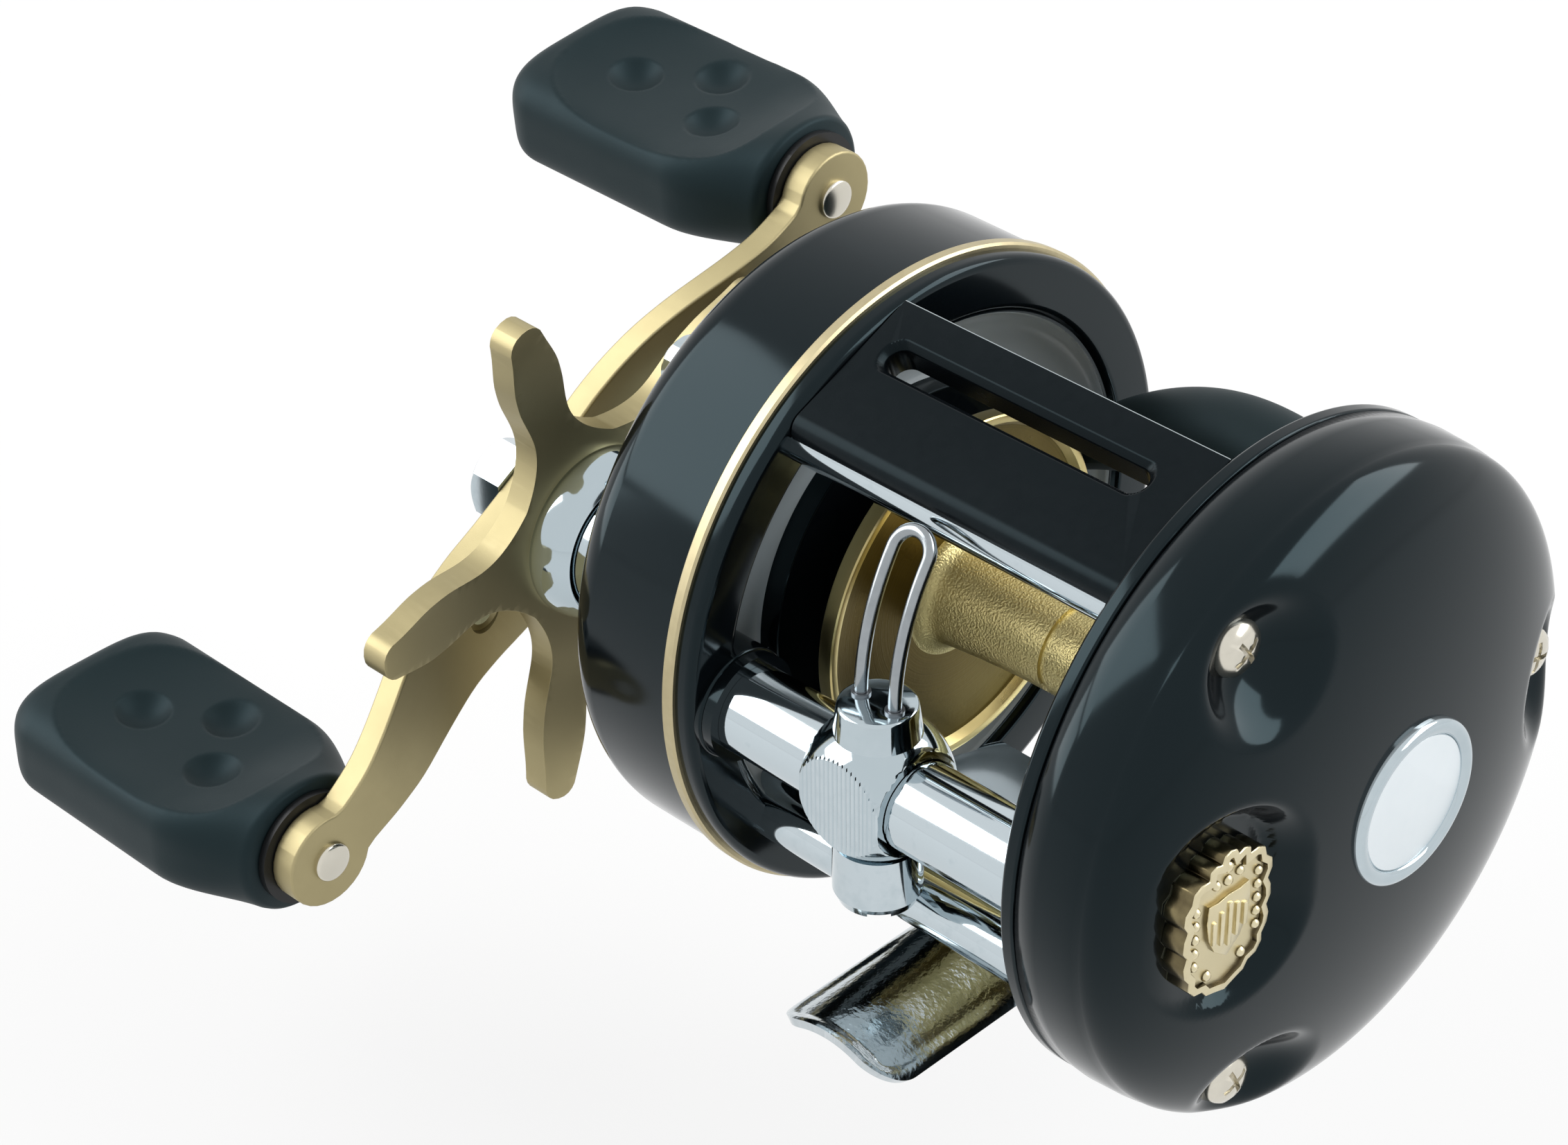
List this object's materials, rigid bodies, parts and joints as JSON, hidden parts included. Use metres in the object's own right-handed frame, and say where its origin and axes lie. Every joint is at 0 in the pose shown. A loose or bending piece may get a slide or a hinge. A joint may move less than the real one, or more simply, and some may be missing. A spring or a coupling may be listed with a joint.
{
  "type": "baitcasting fishing reel",
  "caption": "Round-frame baitcasting reel: gear-driven spool, level wind with wire line guide, star drag, double handle with soft knobs, thumb bar and stamped foot",
  "frame": {"origin": "on the axis of the rod seat, below the middle of the foot", "axes": "+X to the palm side along the spool, -Y to the line guide along the rod, +Z from the rod to the reel"},
  "size_m": [0.1104, 0.0844, 0.0582],
  "materials": {
    "black_gloss": "gloss",
    "black_satin": "satin",
    "gold": "satin",
    "chrome": "polished",
    "nickel": "polished",
    "rubber": "matte",
    "steel": "brushed",
    "brass": "machined",
    "alu": "brushed",
    "polymer": "matte",
    "fibre": "matte"
  },
  "bodies": {
    "frame": {"gear_ring": "black_gloss", "palm_ring": "black_gloss", "trim_ring": "gold", "pillar_upper": "chrome", "pillar_front": "chrome", "pillar_rear": "chrome", "top_plate": "black_satin", "foot_plate": "chrome", "reel_foot": "chrome", "foot_rivets": "alu", "gear_cover": "black_gloss", "thumb_screws": "chrome", "drive_housing": "chrome", "reverse_bearing": "steel", "clutch_posts": "steel", "palm_cover": "black_gloss", "palm_screws": "nickel", "medallion_bezel": "chrome", "medallion_disc": "alu", "plaque": "gold", "brake_plate": "alu", "spool_bearings": "steel", "wind_tube": "chrome", "wind_collar": "alu"},
    "crank": {"drive_shaft": "steel", "reverse_sleeve": "steel", "main_gear": "brass", "wind_cog": "polymer", "drag_washers": "fibre", "handle_spacer": "steel", "handle_arm": "gold", "handle_nut": "chrome", "lock_screw": "chrome", "knob_pins": "nickel", "knob_collars": "rubber"},
    "star": {"star_drag": "gold", "star_collar": "chrome"},
    "knob_a": {"knob_upper": "rubber"},
    "knob_b": {"knob_lower": "rubber"},
    "spool_body": {"spool": "gold", "spool_shaft": "steel", "brake_blocks": "polymer"},
    "clutch": {"clutch_yoke": "steel"},
    "pinion_body": {"pinion": "brass"},
    "worm": {"worm_shaft": "steel", "worm_thread": "steel", "worm_gear": "polymer"},
    "carriage": {"guide_carriage": "chrome", "guide_ferrules": "steel", "guide_wire": "steel", "pawl": "steel", "pawl_cap": "chrome"},
    "thumb": {"thumb_bar": "black_satin"},
    "tension": {"tension_cap": "chrome"}
  },
  "joints": [
    {"name": "crank_spin", "type": "hinge", "parent": "frame", "child": "crank", "pos_m": [-0.0465, -0.0142, 0.0326], "axis": [1, 0, 0], "continuous": true},
    {"name": "spool_spin", "type": "hinge", "parent": "frame", "child": "spool_body", "pos_m": [0.0005, 0, 0.0331], "axis": [1, 0, 0], "continuous": true},
    {"name": "clutch_slide", "type": "slide", "parent": "frame", "child": "clutch", "axis": [-1, 0, 0], "range_m": [0, 0.0012]},
    {"name": "pinion_spin", "type": "hinge", "parent": "clutch", "child": "pinion_body", "pos_m": [-0.0245, 0, 0.0331], "axis": [1, 0, 0], "continuous": true},
    {"name": "worm_spin", "type": "hinge", "parent": "frame", "child": "worm", "pos_m": [0.0005, -0.0232, 0.0325], "axis": [1, 0, 0], "continuous": true},
    {"name": "star_turn", "type": "hinge", "parent": "crank", "child": "star", "pos_m": [-0.0415, -0.0142, 0.0326], "axis": [1, 0, 0], "range_deg": [-180, 180]},
    {"name": "knob_upper_spin", "type": "hinge", "parent": "crank", "child": "knob_a", "pos_m": [-0.0595, 0.01653, 0.05173], "axis": [1, 0, 0], "continuous": true},
    {"name": "knob_lower_spin", "type": "hinge", "parent": "crank", "child": "knob_b", "pos_m": [-0.0595, -0.04493, 0.01347], "axis": [1, 0, 0], "continuous": true},
    {"name": "carriage_slide", "type": "slide", "parent": "frame", "child": "carriage", "axis": [1, 0, 0], "range_m": [-0.0093, 0.0093]},
    {"name": "thumb_press", "type": "slide", "parent": "frame", "child": "thumb", "axis": [0, 0, -1], "range_m": [0, 0.003]},
    {"name": "tension_turn", "type": "hinge", "parent": "frame", "child": "tension", "pos_m": [-0.0335, 0, 0.0331], "axis": [1, 0, 0], "range_deg": [-180, 180]}
  ],
  "couplings": [
    {"joint": "spool_spin", "follows": "crank_spin", "ratio": -4.7},
    {"joint": "pinion_spin", "follows": "crank_spin", "ratio": -4.7},
    {"joint": "worm_spin", "follows": "crank_spin", "ratio": -1.75},
    {"joint": "clutch_slide", "follows": "thumb_press", "ratio": 0.4}
  ]
}
